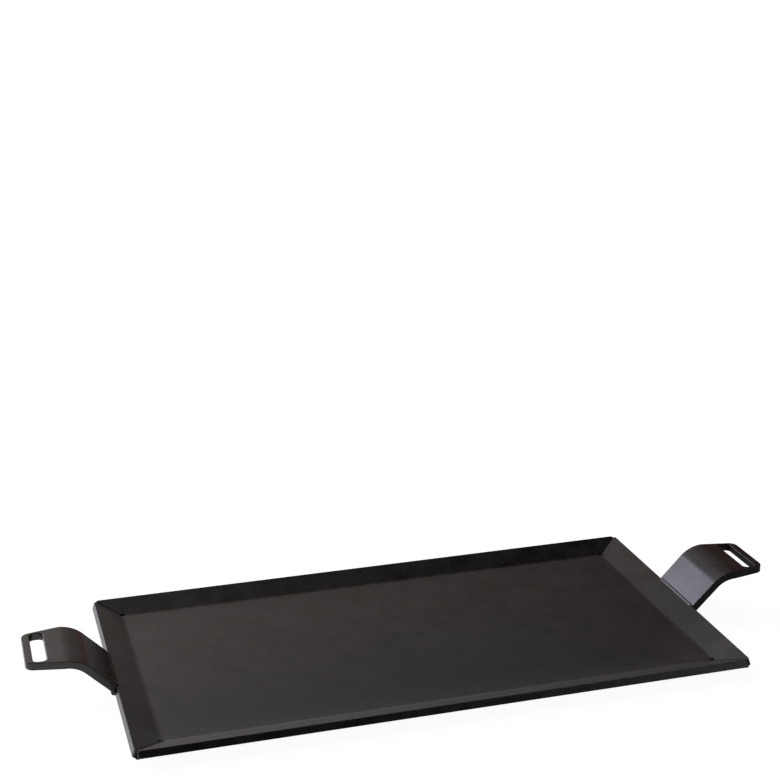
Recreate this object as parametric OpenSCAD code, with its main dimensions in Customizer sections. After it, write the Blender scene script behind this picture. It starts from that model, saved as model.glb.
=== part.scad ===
// Camp griddle: a plate folded from one steel sheet, with a flat bar handle welded to each short rim.
// Frame: origin at the middle of the underside, +X to the right handle, +Y to the back, +Z up.

/* [Plate] */
// Length between the inner top edges of the left and right rims
plate_length = 457; // [400:1:560]
// Depth between the inner top edges of the front and back rims
plate_depth = 254; // [200:1:320]
// Thickness of the plate's steel
sheet_t = 5.6; // [4.5:0.1:6.5]
// Width of a rim up its slope, from the fold line to the cut edge
rim_width = 22; // [19:0.1:27]
// Angle that the rims rise at
rim_angle = 19; // [15:0.5:24]
// Inside radius of the folds
fold_radius = 11; // [8:0.5:14]
// Radius of the rounded tips at the ends of the rims' cut edges
tip_radius = 5; // [4:0.5:9]

/* [Corner seams] */
// Width of the mitre seam between two rims
seam_gap = 1.0; // [0.6:0.1:1.4]
// Diameter of the round relief at the inner end of a seam
relief_d = 4.5; // [3.5:0.1:5.5]
// How far a corner weld stays below the inner faces
seam_recess = 0.1; // [0.1:0.1:1.2]
// How far the metal in a relief stays below the floor
relief_recess = 0.2; // [0.2:0.1:2]
// Width of the open notch at a rim corner's outer tip
notch_width = 1.6; // [1.6:0.1:2.6]
// Depth of that notch along the seam
notch_depth = 0.5; // [0.5:0.1:3]
// How far a corner weld stands out below the rims
corner_bead_h = 0.7; // [0.5:0.1:1.2]
// How far a corner weld stops short of the notch
corner_bead_stop = 0.2; // [0.2:0.1:2]

/* [Handles] */
// Thickness of the handles' flat bar
bar_t = 5.8; // [4.8:0.1:6.6]
// Width of a handle at its bend
handle_width = 61; // [52:1:76]
// Width of a handle at the rim
handle_root_width = 59.5; // [50:0.5:70]
// Width of a handle at its tip, before its corners are rounded
handle_tip_width = 49.5; // [46:0.5:58]
// Angle that a handle rises at from the rim
handle_angle = 45; // [40:0.5:52]
// Height of the grip's top face above the griddle's floor
grip_rise = 32.8; // [28:0.1:42]
// Length of the level grip, from the bend's corner line to the tip
grip_length = 38.2; // [36:0.1:50]
// Radius of the bend on its top face
bend_radius = 26; // [18:0.5:30]
// Radius of the tip's corners
tip_corner_r = 7; // [5:0.5:8]
// How far the handle's top face starts above the rim's top edge
handle_lift = 0.6; // [0.2:0.1:1]

/* [Hanging slot] */
// Width of the slot along the handle
slot_width = 10; // [8:0.5:13]
// Length of the slot across the handle
slot_length = 48; // [24:1:52]
// Radius of the slot's corners
slot_corner_r = 3.8; // [3:0.1:3.9]
// Strip of metal between the slot and the tip
slot_end_strip = 5.8; // [4:0.1:8]
// Least strip of metal beside the slot
slot_side_strip = 3; // [2.5:0.1:6]

/* [Handle welds] */
// Radius of the flat weld along the top of a handle's joint, as a share of the thinner thickness
top_bead_share = 0.5; // [0.4:0.01:0.52]
// How far that weld stands above the joint
top_bead_h = 0.3; // [0.3:0.1:0.9]
// Radius of the weld under a handle's joint, as a share of the thinner thickness
under_bead_share = 0.45; // [0.4:0.05:0.6]
// How far a weld stops short of each side of the handle
weld_stop = 2.5; // [1:0.5:6]

/* [Hidden] */
$fn = 96;

// Colours of the seasoned steel and of the welds
steel_colour = [0.13, 0.11, 0.10];
weld_colour = [0.16, 0.14, 0.13];

// Half the plate's sizes between the rims' inner top edges
half_l = plate_length / 2;
half_d = plate_depth / 2;
// A rim's run and rise from its fold line
rim_run = rim_width * cos(rim_angle);
rim_rise = rim_width * sin(rim_angle);
rim_top_z = sheet_t + rim_rise;
// From the fold line back to where the bend starts on the floor
fold_setback = fold_radius * tan(rim_angle / 2);
fold_axis_z = sheet_t + fold_radius;
// Half the flat floor's sizes, up to where the bends start
floor_x = half_l - rim_run - fold_setback;
floor_y = half_d - rim_run - fold_setback;
// The cut edge leans, so its lower corner stands out past its top
cut_out = sheet_t * sin(rim_angle);
cut_drop = sheet_t * cos(rim_angle);
// Reach of a rim from where its bend starts
rim_reach = rim_run + fold_setback + cut_out;

// A cutter's overshoot past a face, and the size of a cutter that spans the plate
over = 1;
span = 2 * (plate_length + plate_depth);
// Flats that stand for each bend or rounded corner
arc_steps = 12;

// Where the handle's top face starts, in the plane of the rim's cut edge
joint_x = half_l - handle_lift * sin(rim_angle);
joint_z = rim_top_z + handle_lift * cos(rim_angle);
// The cut edge's lower corner
lower_x = half_l + cut_out;
lower_z = rim_top_z - cut_drop;
// Length of the handle's bevelled end along the cut edge
bevel_length = bar_t / cos(handle_angle - rim_angle);
// Top face of the grip, and the corner line where the slope meets it
grip_z = sheet_t + grip_rise;
bend_x = joint_x + (grip_z - joint_z) / tan(handle_angle);
tip_x = bend_x + grip_length;
// The bend's axis
bend_axis_x = bend_x + bend_radius * tan(handle_angle / 2);
bend_axis_z = grip_z - bend_radius;
// A handle's sides run straight from the rim to the end of the bend, and from there to the tip
half_w = handle_width / 2;
half_root = handle_root_width / 2;
half_tip = handle_tip_width / 2;
handle_span = max(handle_width, handle_root_width, handle_tip_width) + 2 * over;
taper_angle = atan((half_w - half_tip) / (tip_x - bend_axis_x));
// Centre of a rounded tip corner
corner_x = tip_x - tip_corner_r;
corner_y = half_tip + tip_corner_r * tan(taper_angle) - tip_corner_r / cos(taper_angle);
// The slot's middle, and its length with the least strips beside it
slot_x = tip_x - slot_end_strip - slot_width / 2;
slot_side_y = half_tip + (tip_x - slot_x) * tan(taper_angle);
slot_fit = min(slot_length, 2 * (slot_side_y - slot_side_strip));

// Radii and length of the handle welds
top_bead_r = min(sheet_t, bar_t) * top_bead_share;
under_bead_r = min(sheet_t, bar_t) * under_bead_share;
// The top weld's axis lies inside the joint, so that only its crown shows
top_bead_lean = (rim_angle + handle_angle) / 2;
top_bead_deep = top_bead_r - top_bead_h;
top_bead_x = joint_x + top_bead_deep * sin(top_bead_lean);
top_bead_z = joint_z - top_bead_deep * cos(top_bead_lean);
weld_length = 2 * (half_root - weld_stop);

// Points along an arc
function arc_points(centre, r, from, to) = [
    for (step = [0:arc_steps])
        let (angle = from + (to - from) * step / arc_steps)
        centre + r * [cos(angle), sin(angle)]
];
// A list of points seen in a mirror, in reverse order
function mirrored(points) = [
    for (i = [len(points) - 1:-1:0]) [-points[i].x, points[i].y]
];
// Distance out and height of a rim's inner face, from the bend's start past the cut edge
function inner_line(half_floor) = concat(
    arc_points([half_floor, fold_axis_z], fold_radius, -90, rim_angle - 90),
    [[half_floor + fold_setback + rim_run, rim_top_z] + over * [cos(rim_angle), sin(rim_angle)]]
);
// Distance out and height of a rim's underside, then up the cut edge and past it
function under_line(half_floor) = concat(
    arc_points([half_floor, fold_axis_z], fold_radius + sheet_t, -90, rim_angle - 90),
    [
        [half_floor + rim_reach, rim_top_z - cut_drop],
        [half_floor + fold_setback + rim_run, rim_top_z] + over * [-sin(rim_angle), cos(rim_angle)]
    ]
);
// Height of a folded face of radius r at a distance w out from where its bend starts
function face_z(r, w) =
    let (arc_w = r * sin(rim_angle))
    w < arc_w
        ? fold_axis_z - sqrt(r * r - w * w)
        : fold_axis_z - r * cos(rim_angle) + (w - arc_w) * tan(rim_angle);
function inner_z(w) = face_z(fold_radius, w);
function under_z(w) = face_z(fold_radius + sheet_t, w);

// Shift of the mitre line along a rim, for each unit up the rim's slope
mitre_shift = cos(rim_angle);
// Where a rounded tip ends at the mitre on the inner face, out from where the bend starts
tip_back = tip_radius * (1 - 1 / sqrt(1 + mitre_shift * mitre_shift));
tip_w = rim_run + fold_setback - tip_back * cos(rim_angle);

// Corner weld: it lies along the hip where two rims' undersides meet
hip_angle = atan(tan(rim_angle) / sqrt(2));
// A bead whose axis lies above the hip, so that only its lower part shows
bead_flatness = 3.5;
corner_bead_r = bead_flatness * corner_bead_h;
corner_axis_up = (corner_bead_r - corner_bead_h) / cos(hip_angle);
// The bead starts where it clears the ground, and stops short of the notch at the tips
ground_clear = 0.4;
outer_arc_w = (fold_radius + sheet_t) * sin(rim_angle);
bead_drop = corner_bead_h / cos(hip_angle) + corner_bead_r * sin(hip_angle) + ground_clear;
bead_from_w = outer_arc_w + max(0, (bead_drop - under_z(outer_arc_w)) / tan(rim_angle));
notch_w = tip_w - notch_depth / sqrt(2);
bead_to_w = notch_w - corner_bead_stop;
// The notch's sides run on past the tip
notch_far = notch_depth + tip_radius + over;
notch_far_width = seam_gap + (notch_width - seam_gap) * notch_far / notch_depth;
// The plug in the relief hole stays between these heights
plug_low = 0.3 * sheet_t;
plug_high = sheet_t - relief_recess;
// The seam's metal starts inside the plug, this far from the plug's ends
fin_inset = (plug_high - plug_low) / 4;

// Space above the underside of a sheet with a rim at each side, as a section
module above_under(half_floor) {
    right_side = under_line(half_floor);
    polygon(concat(right_side, mirrored(right_side)));
}

// Space above the inner faces of the same sheet
module above_inner(half_floor) {
    right_side = inner_line(half_floor);
    far_x = half_floor + rim_reach + over;
    high = rim_top_z + 3 * over;
    polygon(concat(right_side, [[far_x, high], [-far_x, high]], mirrored(right_side)));
}

// A section in X and Z, drawn out along Y
module along_y(length) {
    rotate([90, 0, 0])
        linear_extrude(height = length, center = true)
            children();
}

// The folded plate with closed corners
module closed_plate() {
    difference() {
        intersection() {
            along_y(span) above_under(floor_x);
            rotate([0, 0, 90]) along_y(span) above_under(floor_y);
        }
        intersection() {
            along_y(span + over) above_inner(floor_x);
            rotate([0, 0, 90]) along_y(span + over) above_inner(floor_y);
        }
    }
}

// Cutter that rounds the tip of the rim at +X, square to the rim's faces; its origin is where both bends start
module tip_cut() {
    rim_end = rim_run + fold_setback;
    far = rim_reach + 2 * over;
    intersection() {
        translate([rim_end, rim_end, rim_top_z])
            rotate([0, -rim_angle, 0])
                translate([-tip_radius, -tip_radius * mitre_shift, -sheet_t - over])
                    difference() {
                        cube([tip_radius + over, tip_radius + cut_out + over, sheet_t + 2 * over]);
                        translate([0, 0, -over])
                            cylinder(h = sheet_t + 4 * over, r = tip_radius);
                    }
        // It stays on its own side of the mitre
        linear_extrude(height = rim_top_z + 3 * over)
            polygon([[0, 0], [far, 0], [far, far]]);
    }
}

// Cutter for one corner at +X +Y: seam, relief, notch and rounded tips
module corner_cut() {
    high = rim_top_z + 3 * over;
    // The seam runs out along the diagonal from the relief
    translate([floor_x + fold_setback, floor_y + fold_setback, -over]) {
        rotate([0, 0, 45])
            translate([0, -seam_gap / 2, 0])
                cube([2 * rim_reach, seam_gap, high]);
        cylinder(h = high, d = relief_d);
    }
    // The seam widens to a notch at its outer end
    translate([floor_x + notch_w, floor_y + notch_w, -over])
        rotate([0, 0, 45])
            linear_extrude(height = high)
                polygon([
                    [0, -seam_gap / 2], [notch_far, -notch_far_width / 2],
                    [notch_far, notch_far_width / 2], [0, seam_gap / 2]
                ]);
    // Both rims' tips are rounded
    translate([floor_x, floor_y, 0]) {
        tip_cut();
        mirror([1, 0, 0]) rotate([0, 0, 90]) tip_cut();
    }
}

// A shape at +X +Y is set in one of the four corners
module at_corner(side_x, side_y) {
    mirror([side_x < 0 ? 1 : 0, 0, 0])
        mirror([0, side_y < 0 ? 1 : 0, 0])
            children();
}

module griddle_plate() {
    color(steel_colour)
        difference() {
            closed_plate();
            for (side_x = [-1, 1], side_y = [-1, 1])
                at_corner(side_x, side_y) corner_cut();
        }
}

// Bead under the hip at +X +Y, cut to lie on the rims' undersides
module corner_bead() {
    run = (bead_to_w - bead_from_w) * sqrt(2) / cos(hip_angle);
    start = [floor_x + bead_from_w, floor_y + bead_from_w, under_z(bead_from_w)];
    difference() {
        translate(start + [0, 0, corner_axis_up])
            rotate([0, 0, 45])
                rotate([0, 90 - hip_angle, 0])
                    cylinder(h = run, r = corner_bead_r);
        closed_plate();
        // Nothing of the bead is left above the middle of the sheet
        translate(start + [0, 0, sheet_t / 2])
            rotate([0, 0, 45])
                rotate([0, -hip_angle, 0])
                    translate([-span / 2, -span / 2, 0])
                        cube([span, span, span]);
    }
}

// Metal in the seam and the relief, below the inner faces
module seam_fill() {
    from_w = fold_setback;
    fold_end_w = fold_radius * sin(rim_angle);
    bite = corner_bead_h / 4;
    translate([floor_x, floor_y, 0])
        rotate([0, 0, 45])
            along_y(seam_gap)
                polygon([
                    [from_w * sqrt(2), plug_low + fin_inset],
                    [bead_from_w * sqrt(2), under_z(bead_from_w) - bite],
                    [bead_to_w * sqrt(2), under_z(bead_to_w) - bite],
                    [bead_to_w * sqrt(2), inner_z(bead_to_w) - seam_recess],
                    [fold_end_w * sqrt(2), inner_z(fold_end_w) - seam_recess],
                    [from_w * sqrt(2), plug_high - fin_inset]
                ]);
    translate([floor_x + fold_setback, floor_y + fold_setback, plug_low])
        cylinder(h = plug_high - plug_low, d = relief_d);
}

module corner_weld(side_x, side_y) {
    color(weld_colour)
        at_corner(side_x, side_y) {
            corner_bead();
            seam_fill();
        }
}

module front_left_corner_weld() { corner_weld(-1, -1); }

module front_right_corner_weld() { corner_weld(1, -1); }

module back_left_corner_weld() { corner_weld(-1, 1); }

module back_right_corner_weld() { corner_weld(1, 1); }

// Section of the right handle: slope, bend and grip, then back to the bevelled end on the cut edge
handle_axis = [bend_axis_x, bend_axis_z];
handle_line = concat(
    [[joint_x, joint_z]],
    arc_points(handle_axis, bend_radius, 90 + handle_angle, 90),
    [[tip_x + over, grip_z], [tip_x + over, grip_z - bar_t]],
    arc_points(handle_axis, bend_radius - bar_t, 90, 90 + handle_angle),
    [[joint_x, joint_z] + bevel_length * [sin(rim_angle), -cos(rim_angle)]]
);

module handle_section() { polygon(handle_line); }

// Section of the handle and the rim together, as one outline
module joined_section() {
    down_rim = 2 * sheet_t * [cos(rim_angle), sin(rim_angle)];
    rim_top = [half_l, rim_top_z];
    rim_low = [lower_x, lower_z];
    polygon(concat([rim_top - down_rim, rim_top], handle_line, [rim_low, rim_low - down_rim]));
}

// Outline of the right handle from above, drawn in toward a rounded tip
module handle_outline() {
    far_side = concat(
        [[half_l - 2 * over, half_root], [bend_axis_x, half_w]],
        arc_points([corner_x, corner_y], tip_corner_r, 90 - taper_angle, 0)
    );
    near_side = [for (i = [len(far_side) - 1:-1:0]) [far_side[i].x, -far_side[i].y]];
    polygon(concat(far_side, near_side));
}

// Slot with rounded corners, right through the grip
module hanging_slot() {
    reach_x = slot_width / 2 - slot_corner_r;
    reach_y = slot_fit / 2 - slot_corner_r;
    translate([slot_x, 0, grip_z - bar_t - over])
        linear_extrude(height = bar_t + 2 * over) {
            square([slot_width, 2 * reach_y], center = true);
            square([2 * reach_x, slot_fit], center = true);
            for (side_x = [-1, 1], side_y = [-1, 1])
                translate([side_x * reach_x, side_y * reach_y])
                    circle(slot_corner_r);
        }
}

module handle() {
    difference() {
        intersection() {
            along_y(handle_span) handle_section();
            linear_extrude(height = grip_z + over) handle_outline();
        }
        hanging_slot();
    }
}

module right_handle() {
    color(steel_colour) handle();
}

module left_handle() {
    color(steel_colour) mirror([1, 0, 0]) handle();
}

// A round weld along the right joint, cut to lie on the rim and on the handle
module joint_weld(weld_x, weld_z, weld_r) {
    difference() {
        translate([weld_x, weld_length / 2, weld_z])
            rotate([90, 0, 0])
                cylinder(h = weld_length, r = weld_r);
        along_y(handle_span) joined_section();
    }
}

module handle_top_weld() { joint_weld(top_bead_x, top_bead_z, top_bead_r); }

module handle_under_weld() { joint_weld(lower_x, lower_z, under_bead_r); }

module right_handle_top_weld() {
    color(weld_colour) handle_top_weld();
}

module left_handle_top_weld() {
    color(weld_colour) mirror([1, 0, 0]) handle_top_weld();
}

module right_handle_under_weld() {
    color(weld_colour) handle_under_weld();
}

module left_handle_under_weld() {
    color(weld_colour) mirror([1, 0, 0]) handle_under_weld();
}

griddle_plate();
left_handle();
right_handle();
left_handle_top_weld();
right_handle_top_weld();
left_handle_under_weld();
right_handle_under_weld();
front_left_corner_weld();
front_right_corner_weld();
back_left_corner_weld();
back_right_corner_weld();
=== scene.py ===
"""Looks, light and camera for the camp griddle plate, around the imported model."""
import math

import bmesh
import bpy
from mathutils import Matrix, Vector


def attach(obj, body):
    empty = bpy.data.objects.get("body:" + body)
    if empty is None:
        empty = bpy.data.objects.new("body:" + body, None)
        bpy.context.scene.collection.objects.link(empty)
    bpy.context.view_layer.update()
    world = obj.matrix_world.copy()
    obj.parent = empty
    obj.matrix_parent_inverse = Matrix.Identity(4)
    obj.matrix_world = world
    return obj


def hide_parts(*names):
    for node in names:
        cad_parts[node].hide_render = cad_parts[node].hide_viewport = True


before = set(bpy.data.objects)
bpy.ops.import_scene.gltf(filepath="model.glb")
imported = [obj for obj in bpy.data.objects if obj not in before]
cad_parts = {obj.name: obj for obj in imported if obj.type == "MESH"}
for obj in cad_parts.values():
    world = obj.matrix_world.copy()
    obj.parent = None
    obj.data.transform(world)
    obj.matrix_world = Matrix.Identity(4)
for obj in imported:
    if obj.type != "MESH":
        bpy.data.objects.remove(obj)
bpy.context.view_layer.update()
MM = 0.001
WHITE = (1.0, 1.0, 1.0)

# Sizes of the plate that the looks follow, in metres
SHEET_T = 5.6 * MM
FOLD_X = 207.7 * MM
FOLD_Y = 106.2 * MM
FOLD_HALF = 1.85 * MM

# Edges that are broken by deburring, and the angle from which an edge counts as one
EDGE_RADIUS = 0.5 * MM
EDGE_STEPS = 3
EDGE_PROFILE = 0.5
SHARP = math.radians(50)
# Mesh edges that are flatter than this, or shorter, are joined first
FLAT = math.radians(1.0)
MERGE = 0.1 * MM
# How strongly a piece's large faces set the smooth normals beside them
FACE_WEIGHT = 100


# Materials

# Noises of the steel's finish: scale, detail and roughness
CLOUDS = (6.0, 2.0, 0.45)
PATCHES = (55.0, 4.0, 0.55)
SPECKS = (420.0, 3.0, 0.6)
GRAIN = (2600.0, 2.0, 0.5)
MARKS = (1.0, 3.0, 0.6)
DENTS = (30.0, 2.0, 0.4)
# Bands of a noise's values that are spread over a range of the finish
MIDDLE_BAND = (0.3, 0.7)
CLOUD_BAND = (0.35, 0.65)
RUB_BAND = (0.35, 0.6)
# How far specks change the film's shade, and rolling marks its roughness
SPECK_SHADE = 0.07
MARK_SHEEN = 0.02
# How much of the film is rubbed off at edges and at folds, from its least to its most; the bare steel
# there is partly wear and partly a painted highlight
EDGE_RUB_AND_HIGHLIGHT = (0.2, 0.7)
FOLD_RUB_AND_HIGHLIGHT = (0.3, 0.6)
FILM_IOR = 1.5
# Strength and depth of the bumps
DENT_STRENGTH = 0.6
FINE_STRENGTH = 0.3
MARK_DEPTH = 0.01 * MM
GRAIN_DEPTH = 0.012 * MM

# Painted light: the plate's film is cooler toward the front rim, a painted bluish fill light from the
# front
PAINTED_FRONT_LIGHT = (0.024, 0.042, 0.046)
PAINTED_FRONT_LIGHT_RISE = (60 * MM, -120 * MM)
# A painted reflection lies on the floor along the front fold, and thinner on the rim
PAINTED_FOLD_REFLECTION = (0.08, 0.104, 0.11)
PAINTED_FOLD_REFLECTION_RISE = (-76 * MM, -105 * MM)
PAINTED_FOLD_REFLECTION_CURVE = 2.0
PAINTED_FOLD_REFLECTION_FALL = (-104 * MM, -109 * MM)
PAINTED_FOLD_REFLECTION_ON_RIM = 0.4
# The cut edge of the front rim has neither the painted fill light nor the painted reflection
FRONT_EDGE = (-126.9 * MM, -127.3 * MM)
# A painted reflection makes the film paler at the front of the right rim
PAINTED_CORNER_REFLECTION = (0.13, 0.127, 0.144)
PAINTED_CORNER_REFLECTION_AT = (0.224, -0.098, 0.010)
PAINTED_CORNER_REFLECTION_REACH = (10 * MM, 62 * MM)

# Brown film, grey film and worn steel, which at edges and folds is partly a painted highlight
PLATE_COLOURS = ((0.0085, 0.0062, 0.0048), (0.0068, 0.0064, 0.0064), (0.055, 0.051, 0.049))
HANDLE_COLOURS = ((0.0105, 0.0060, 0.0042), (0.0090, 0.0066, 0.0056), (0.055, 0.051, 0.049))
WELD_COLOURS = ((0.012, 0.010, 0.009), (0.011, 0.010, 0.010), (0.04, 0.037, 0.035))
# Rolling marks are drawn out along the plate's length and across the handles, and not on the welds
ROLLED_LENGTHWAYS = (22.0, 700.0, 700.0)
ROLLED_CROSSWAYS = (700.0, 22.0, 700.0)
UNROLLED = (300.0, 300.0, 300.0)


def node(tree, kind, inputs=(), **settings):
    """A shader node with its settings and its unlinked inputs."""
    made = tree.nodes.new(kind)
    for name, value in settings.items():
        setattr(made, name, value)
    for name, value in dict(inputs).items():
        made.inputs[name].default_value = value
    return made


def noise(tree, vector, scale, detail, roughness):
    """Noise over the given coordinates, as a number from 0 to 1."""
    made = node(tree, "ShaderNodeTexNoise", {"Scale": scale, "Detail": detail, "Roughness": roughness})
    tree.links.new(vector, made.inputs["Vector"])
    return made.outputs["Fac"]


def spread(tree, value, low, high, to_low, to_high):
    """A number from one range to another, held at its ends."""
    made = node(
        tree, "ShaderNodeMapRange",
        {"From Min": low, "From Max": high, "To Min": to_low, "To Max": to_high},
    )
    tree.links.new(value, made.inputs["Value"])
    return made.outputs["Result"]


def combine(tree, operation, first, second):
    """Two numbers, or a number and a constant, through one sum."""
    made = node(tree, "ShaderNodeMath", operation=operation)
    for socket, value in zip(made.inputs, (first, second)):
        if isinstance(value, (int, float)):
            socket.default_value = value
        else:
            tree.links.new(value, socket)
    return made.outputs["Value"]


def blend_colours(tree, factor, first, second, mode="MIX"):
    """Two colours, each a link or a constant, mixed by a number."""
    made = node(tree, "ShaderNodeMix", data_type="RGBA", blend_type=mode)
    for socket, value in ((made.inputs[0], factor), (made.inputs[6], first), (made.inputs[7], second)):
        if hasattr(value, "links"):
            tree.links.new(value, socket)
        elif isinstance(value, (int, float)):
            socket.default_value = value
        else:
            socket.default_value = (*value, 1.0)
    return made.outputs[2]


def stretched(tree, vector, scale):
    """Coordinates drawn out along an axis."""
    made = node(tree, "ShaderNodeMapping", {"Scale": scale})
    tree.links.new(vector, made.inputs["Vector"])
    return made.outputs["Vector"]


def bump(tree, height, strength, depth, under=None):
    """A bumped normal, on top of another one where that is given."""
    made = node(tree, "ShaderNodeBump", {"Strength": strength, "Distance": depth})
    tree.links.new(height, made.inputs["Height"])
    if under:
        tree.links.new(under, made.inputs["Normal"])
    return made.outputs["Normal"]


def painted_plate_light(tree, place, film):
    """Painted light on the plate's film: a painted cool fill light and a painted reflection toward the
    front, and a painted reflection that makes one corner paler.
    """
    parts = node(tree, "ShaderNodeSeparateXYZ")
    tree.links.new(place, parts.inputs["Vector"])
    toward_back = parts.outputs["Y"]
    inside = spread(tree, toward_back, *FRONT_EDGE, 1.0, 0.0)
    # Painted light: a cool tint toward the front stands in for a fill light from the front
    painted_front_light = combine(tree, "MULTIPLY", spread(tree, toward_back, *PAINTED_FRONT_LIGHT_RISE, 0.0, 1.0), inside)
    film = blend_colours(tree, painted_front_light, film, PAINTED_FRONT_LIGHT)
    # Painted reflection: a pale band on the floor along the front fold, thinner on the rim
    painted_fold_reflection = combine(tree, "POWER", spread(tree, toward_back, *PAINTED_FOLD_REFLECTION_RISE, 0.0, 1.0), PAINTED_FOLD_REFLECTION_CURVE)
    painted_fold_reflection = combine(tree, "MULTIPLY", painted_fold_reflection, spread(tree, toward_back, *PAINTED_FOLD_REFLECTION_FALL, 1.0, PAINTED_FOLD_REFLECTION_ON_RIM))
    film = blend_colours(tree, combine(tree, "MULTIPLY", painted_fold_reflection, inside), film, PAINTED_FOLD_REFLECTION)
    # Painted reflection: a pale patch at the front of the right rim
    away = node(tree, "ShaderNodeVectorMath", {1: PAINTED_CORNER_REFLECTION_AT}, operation="DISTANCE")
    tree.links.new(place, away.inputs[0])
    painted_corner_reflection = spread(tree, away.outputs["Value"], *PAINTED_CORNER_REFLECTION_REACH, 1.0, 0.0)
    return blend_colours(tree, painted_corner_reflection, film, PAINTED_CORNER_REFLECTION)


def seasoned_steel(name, colours, rolled_along, mottle, rough, dent_depth, paint_light_on_film=None):
    """Dark seasoned steel: mottled film, rolling marks, grain, and wear at edges and folds that is partly
    a painted highlight, with painted light on the film where it is given.
    """
    brown, grey, worn_and_highlight = colours
    made = bpy.data.materials.new(name)
    made.use_nodes = True
    tree = made.node_tree
    shader = tree.nodes["Principled BSDF"]
    place = node(tree, "ShaderNodeTexCoord").outputs["Object"]
    clouds = noise(tree, place, *CLOUDS)
    patches = noise(tree, place, *PATCHES)
    specks = noise(tree, place, *SPECKS)
    grain = noise(tree, place, *GRAIN)
    marks = noise(tree, stretched(tree, place, rolled_along), *MARKS)

    film = blend_colours(tree, spread(tree, clouds, *CLOUD_BAND, 0.0, 1.0), brown, grey)
    mottled = spread(tree, patches, *MIDDLE_BAND, 1.0 - mottle, 1.0 + mottle)
    specked = spread(tree, specks, *MIDDLE_BAND, 1.0 - SPECK_SHADE, 1.0 + SPECK_SHADE)
    shade = combine(tree, "MULTIPLY", mottled, specked)
    tone = node(tree, "ShaderNodeCombineColor")
    for channel in ("Red", "Green", "Blue"):
        tree.links.new(shade, tone.inputs[channel])
    film = blend_colours(tree, 1.0, film, tone.outputs["Color"], "MULTIPLY")
    if paint_light_on_film:
        film = paint_light_on_film(tree, place, film)
    edge = node(tree, "ShaderNodeAttribute", attribute_name="edge").outputs["Fac"]
    fold = node(tree, "ShaderNodeAttribute", attribute_name="fold").outputs["Fac"]
    # Painted highlight: worn steel at edges and folds, partly real wear and partly a painted highlight
    edge_rub_and_highlight = combine(tree, "MULTIPLY", edge, spread(tree, patches, *RUB_BAND, *EDGE_RUB_AND_HIGHLIGHT))
    fold_rub_and_highlight = combine(tree, "MULTIPLY", fold, spread(tree, patches, *MIDDLE_BAND, *FOLD_RUB_AND_HIGHLIGHT))
    colour = blend_colours(tree, combine(tree, "ADD", edge_rub_and_highlight, fold_rub_and_highlight), film, worn_and_highlight)
    tree.links.new(colour, shader.inputs["Base Color"])

    sheen = spread(tree, patches, *MIDDLE_BAND, *rough)
    sheen = combine(tree, "ADD", sheen, spread(tree, marks, *MIDDLE_BAND, -MARK_SHEEN, MARK_SHEEN))
    tree.links.new(sheen, shader.inputs["Roughness"])
    shader.inputs["IOR"].default_value = FILM_IOR

    dented = bump(tree, noise(tree, place, *DENTS), DENT_STRENGTH, dent_depth)
    scored = bump(tree, marks, FINE_STRENGTH, MARK_DEPTH, dented)
    pitted = bump(tree, combine(tree, "ADD", grain, specks), FINE_STRENGTH, GRAIN_DEPTH, scored)
    tree.links.new(pitted, shader.inputs["Normal"])
    return made


plate_steel = seasoned_steel(
    "seasoned_plate_steel", PLATE_COLOURS, ROLLED_LENGTHWAYS,
    mottle=0.04, rough=(0.25, 0.30), dent_depth=0.008 * MM, paint_light_on_film=painted_plate_light,
)
handle_steel = seasoned_steel(
    "seasoned_handle_steel", HANDLE_COLOURS, ROLLED_CROSSWAYS,
    mottle=0.10, rough=(0.21, 0.26), dent_depth=0.025 * MM,
)
weld_metal = seasoned_steel(
    "seasoned_weld_metal", WELD_COLOURS, UNROLLED,
    mottle=0.15, rough=(0.24, 0.34), dent_depth=0.03 * MM,
)


# Pieces

def new_piece(name, shape, material, replaced):
    """A finished piece from a bmesh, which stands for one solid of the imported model."""
    mesh = bpy.data.meshes.new(name)
    shape.to_mesh(mesh)
    shape.free()
    for face in mesh.polygons:
        face.use_smooth = True
    mesh.materials.append(material)
    piece = bpy.data.objects.new(name, mesh)
    bpy.context.scene.collection.objects.link(piece)
    even = piece.modifiers.new("even_normals", "WEIGHTED_NORMAL")
    even.keep_sharp = True
    even.weight = FACE_WEIGHT
    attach(piece, "root")
    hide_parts(replaced)
    return piece


def fold_wear_and_highlight_at(place):
    """How much the film is rubbed off along the folds of the left and right rims, from 0 to 1; the rubbed
    steel is partly a painted highlight.
    """
    out = abs(place.x) - FOLD_X
    on_top = abs(place.y) < FOLD_Y and place.z > SHEET_T - MERGE
    return max(0.0, 1.0 - (out / FOLD_HALF) ** 2) if on_top else 0.0


def broken_edges(solid, name, material):
    """A solid with its cut edges broken to a small radius, and those edges marked for wear that is partly
    a painted highlight.
    """
    shape = bmesh.new()
    shape.from_mesh(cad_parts[solid].data)
    bmesh.ops.remove_doubles(shape, verts=shape.verts, dist=MERGE)
    bmesh.ops.dissolve_limit(shape, angle_limit=FLAT, verts=shape.verts, edges=shape.edges)
    cut = [e for e in shape.edges if len(e.link_faces) == 2 and e.calc_face_angle() > SHARP]
    rounded = bmesh.ops.bevel(
        shape, geom=cut, offset=EDGE_RADIUS, offset_type="OFFSET", segments=EDGE_STEPS,
        profile=EDGE_PROFILE, affect="EDGES", clamp_overlap=False, miter_outer="ARC",
    )
    edge = shape.verts.layers.float.new("edge")
    for face in rounded["faces"]:
        for vert in face.verts:
            vert[edge] = 1.0
    fold = shape.verts.layers.float.new("fold")
    for vert in shape.verts:
        vert[fold] = fold_wear_and_highlight_at(vert.co) if solid == "griddle_plate" else 0.0
    return new_piece(name, shape, material, solid)


broken_edges("griddle_plate", "plate", plate_steel)
broken_edges("left_handle", "handle_left", handle_steel)
broken_edges("right_handle", "handle_right", handle_steel)
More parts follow.
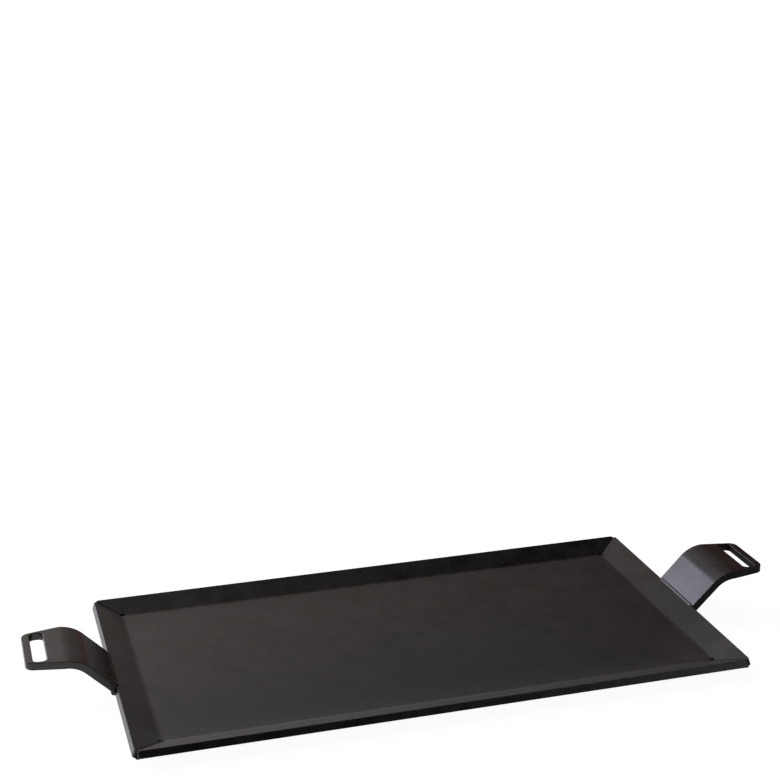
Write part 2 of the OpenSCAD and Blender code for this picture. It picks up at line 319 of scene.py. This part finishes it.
# The welds stay as packed, with their own finish
for solid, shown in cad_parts.items():
    if solid.endswith("weld"):
        shown.data.materials.clear()
        shown.data.materials.append(weld_metal)
        for face in shown.data.polygons:
            face.use_smooth = True


# Floor

FLOOR_HALF = 20.0
FLOOR_Z = -0.3 * MM
FLOOR_GREY = (0.35, 0.35, 0.35)
FLOOR_GLOW = 0.95
# The floor's glow seen in reflections has painted shade: bright on the left, and dim from near the plate's
# left edge to the right, a painted shadow of the plate
LIT_EDGE = -0.241
DIM_EDGE = -0.218
DIM_SHARE = 0.08


def pale_floor():
    """A white floor that keeps the object's shadow, and is clear from below."""
    made = bpy.data.materials.new("pale_floor")
    made.use_nodes = True
    tree = made.node_tree
    tree.nodes.remove(tree.nodes["Principled BSDF"])
    matt = node(tree, "ShaderNodeBsdfDiffuse", {"Color": (*FLOOR_GREY, 1.0)})
    path = node(tree, "ShaderNodeLightPath")
    across = node(tree, "ShaderNodeSeparateXYZ")
    tree.links.new(node(tree, "ShaderNodeTexCoord").outputs["Object"], across.inputs["Vector"])
    # Painted shade: the floor's glow seen in reflections drops to a small share right of the plate's left
    # edge
    painted_floor_shade = spread(tree, across.outputs["X"], LIT_EDGE, DIM_EDGE, 1.0, DIM_SHARE)
    seen = combine(tree, "ADD", path.outputs["Is Camera Ray"], path.outputs["Is Transmission Ray"])
    mirrored = combine(tree, "MULTIPLY", path.outputs["Is Glossy Ray"], painted_floor_shade)
    glow = node(tree, "ShaderNodeEmission", {"Color": (*WHITE, 1.0)})
    strength = combine(tree, "MULTIPLY", combine(tree, "ADD", seen, mirrored), FLOOR_GLOW)
    tree.links.new(strength, glow.inputs["Strength"])
    both = node(tree, "ShaderNodeAddShader")
    tree.links.new(matt.outputs[0], both.inputs[0])
    tree.links.new(glow.outputs[0], both.inputs[1])
    clear = node(tree, "ShaderNodeBsdfTransparent")
    side = node(tree, "ShaderNodeNewGeometry")
    choose = node(tree, "ShaderNodeMixShader")
    tree.links.new(side.outputs["Backfacing"], choose.inputs["Fac"])
    tree.links.new(both.outputs[0], choose.inputs[1])
    tree.links.new(clear.outputs[0], choose.inputs[2])
    tree.links.new(choose.outputs[0], tree.nodes["Material Output"].inputs["Surface"])
    return made


floor_mesh = bpy.data.meshes.new("floor")
floor_mesh.from_pydata(
    [(x * FLOOR_HALF, y * FLOOR_HALF, FLOOR_Z) for x, y in ((-1, -1), (1, -1), (1, 1), (-1, 1))],
    [], [(0, 1, 2, 3)],
)
floor_mesh.materials.append(pale_floor())
floor = bpy.data.objects.new("floor", floor_mesh)
bpy.context.scene.collection.objects.link(floor)


# Light

# The room's brightness falls from left to right, and changes with height and toward the front
ROOM_LEVEL = 0.64
ROOM_FALL = 4.0
ROOM_FAR_RIGHT = 0.45
ROOM_MOST = 0.8
LOW_BAND = (0.12, 0.28)
LOW_FALL = 0.8
ROOM_LOW = 1.5
HORIZON_BAND = (0.0, 0.14)
ROOM_HORIZON = 0.6
HIGH_BAND = (0.48, 0.54)
ROOM_HIGH = 0.6
TOP_BAND = (0.62, 0.82)
TOP_FALL = 2.3
ROOM_TOP = 1.5
FRONT_BAND = (-0.15, 0.45)
ROOM_FRONT = 0.02
# A pale wall at the front right
NEAR_BAND = (0.40, 0.45)
NEAR_DEPTH = (-0.5, -0.8)
ROOM_NEAR_RIGHT = 1.2
# Tints of the room's sides
ROOM_WARM = (1.08, 0.97, 0.90)
BROWN_BAND = (0.35, 0.45)
ROOM_BROWN = (1.6, 0.66, 0.58)
COOL_BAND = (-0.2, 0.1)
ROOM_COOL = (0.99, 0.99, 1.04)
LEFT_BAND = (-0.35, 0.0)
ROOM_LEFT = (0.98, 0.96, 1.08)
# A soft light at the back left: angles in degrees, sizes in metres
KEY_AZIMUTH = -35
KEY_ELEVATION = 22
KEY_DISTANCE = 1.6
KEY_SIZE = (1.05, 0.56)
KEY_RADIANCE = 3.3
KEY_COLOUR = (0.92, 0.88, 1.08)


def room_level(tree, right, rear, up):
    """The room's brightness toward a direction."""
    fall = combine(
        tree, "MULTIPLY",
        spread(tree, up, *LOW_BAND, LOW_FALL, 1.0), spread(tree, up, *TOP_BAND, 1.0, TOP_FALL),
    )
    fall = combine(tree, "MULTIPLY", combine(tree, "MULTIPLY", right, fall), -ROOM_FALL)
    level = combine(tree, "MULTIPLY", combine(tree, "POWER", math.e, fall), ROOM_LEVEL)
    level = combine(tree, "MINIMUM", level, ROOM_MOST)
    for share in (
        spread(tree, rear, *FRONT_BAND, ROOM_FRONT, 1.0),
        spread(tree, up, *LOW_BAND, ROOM_LOW, 1.0),
        spread(tree, up, *HORIZON_BAND, ROOM_HORIZON, 1.0),
        spread(tree, right, *BROWN_BAND, 1.0, ROOM_FAR_RIGHT),
        spread(tree, up, *HIGH_BAND, 1.0, ROOM_HIGH),
        spread(tree, up, *TOP_BAND, 1.0, ROOM_TOP),
    ):
        level = combine(tree, "MULTIPLY", level, share)
    wall = combine(
        tree, "MULTIPLY",
        spread(tree, right, *NEAR_BAND, 0.0, ROOM_NEAR_RIGHT), spread(tree, rear, *NEAR_DEPTH, 0.0, 1.0),
    )
    return combine(tree, "ADD", level, wall)


def studio_world():
    """A room that is bright at the back left and dark at the front, and white to the camera."""
    made = bpy.data.worlds.new("studio")
    made.use_nodes = True
    tree = made.node_tree
    toward = node(tree, "ShaderNodeSeparateXYZ")
    tree.links.new(node(tree, "ShaderNodeTexCoord").outputs["Generated"], toward.inputs["Vector"])
    right, rear, up = (toward.outputs[axis] for axis in "XYZ")
    tint = blend_colours(tree, spread(tree, right, *BROWN_BAND, 0.0, 1.0), ROOM_WARM, ROOM_BROWN)
    tint = blend_colours(tree, spread(tree, rear, *COOL_BAND, 1.0, 0.0), tint, ROOM_COOL)
    tint = blend_colours(tree, spread(tree, right, *LEFT_BAND, 1.0, 0.0), tint, ROOM_LEFT)
    to_camera = node(tree, "ShaderNodeLightPath").outputs["Is Camera Ray"]
    background = tree.nodes["Background"]
    tree.links.new(blend_colours(tree, to_camera, tint, WHITE), background.inputs["Color"])
    strength = node(tree, "ShaderNodeMix", data_type="FLOAT")
    tree.links.new(to_camera, strength.inputs[0])
    tree.links.new(room_level(tree, right, rear, up), strength.inputs[2])
    strength.inputs[3].default_value = 1.0
    tree.links.new(strength.outputs[0], background.inputs["Strength"])
    return made


def softbox(name, azimuth, elevation, distance, size, radiance, colour):
    """A soft light that faces the griddle; azimuth is measured from the back toward the right."""
    light = bpy.data.lights.new(name, "AREA")
    light.shape = "RECTANGLE"
    light.size, light.size_y = size
    light.energy = radiance * math.pi * light.size * light.size_y
    light.color = colour
    lamp = bpy.data.objects.new(name, light)
    a, e = math.radians(azimuth), math.radians(elevation)
    toward = Vector((math.sin(a) * math.cos(e), math.cos(a) * math.cos(e), math.sin(e)))
    lamp.location = toward * distance
    lamp.rotation_mode = "QUATERNION"
    lamp.rotation_quaternion = toward.to_track_quat("Z", "Y")
    bpy.context.scene.collection.objects.link(lamp)
    return lamp


bpy.context.scene.world = studio_world()
softbox("key", KEY_AZIMUTH, KEY_ELEVATION, KEY_DISTANCE, KEY_SIZE, KEY_RADIANCE, KEY_COLOUR)


# Camera, as fitted to the photograph

CAMERA_AT = Vector((-326.049, -1118.842, 567.814)) * MM
CAMERA_TILT = math.radians(17.206)
CAMERA_TURN = math.radians(-15.725)
CAMERA_ROLL = math.radians(-0.771)
FOCAL_PIXELS = 1642.29
CENTRE_SHIFT = 0.5
FRAME_PIXELS = 780
SENSOR_MM = 36.0
CLIP_NEAR, CLIP_FAR = 0.05, 100.0

lens = bpy.data.cameras.new("camera")
lens.sensor_width = SENSOR_MM
lens.lens = FOCAL_PIXELS / FRAME_PIXELS * SENSOR_MM
lens.shift_x = -CENTRE_SHIFT / FRAME_PIXELS
lens.shift_y = CENTRE_SHIFT / FRAME_PIXELS
lens.clip_start, lens.clip_end = CLIP_NEAR, CLIP_FAR
camera = bpy.data.objects.new("camera", lens)
bpy.context.scene.collection.objects.link(camera)
back = Vector((
    math.sin(CAMERA_TURN) * math.cos(CAMERA_TILT),
    -math.cos(CAMERA_TURN) * math.cos(CAMERA_TILT),
    math.sin(CAMERA_TILT),
))
level = Vector((math.cos(CAMERA_TURN), math.sin(CAMERA_TURN), 0.0))
upright = back.cross(level)
right = level * math.cos(CAMERA_ROLL) + upright * math.sin(CAMERA_ROLL)
up = upright * math.cos(CAMERA_ROLL) - level * math.sin(CAMERA_ROLL)
camera.matrix_world = Matrix.Translation(CAMERA_AT) @ Matrix((right, up, back)).transposed().to_4x4()
bpy.context.scene.camera = camera
bpy.context.scene.view_settings.view_transform = "Standard"
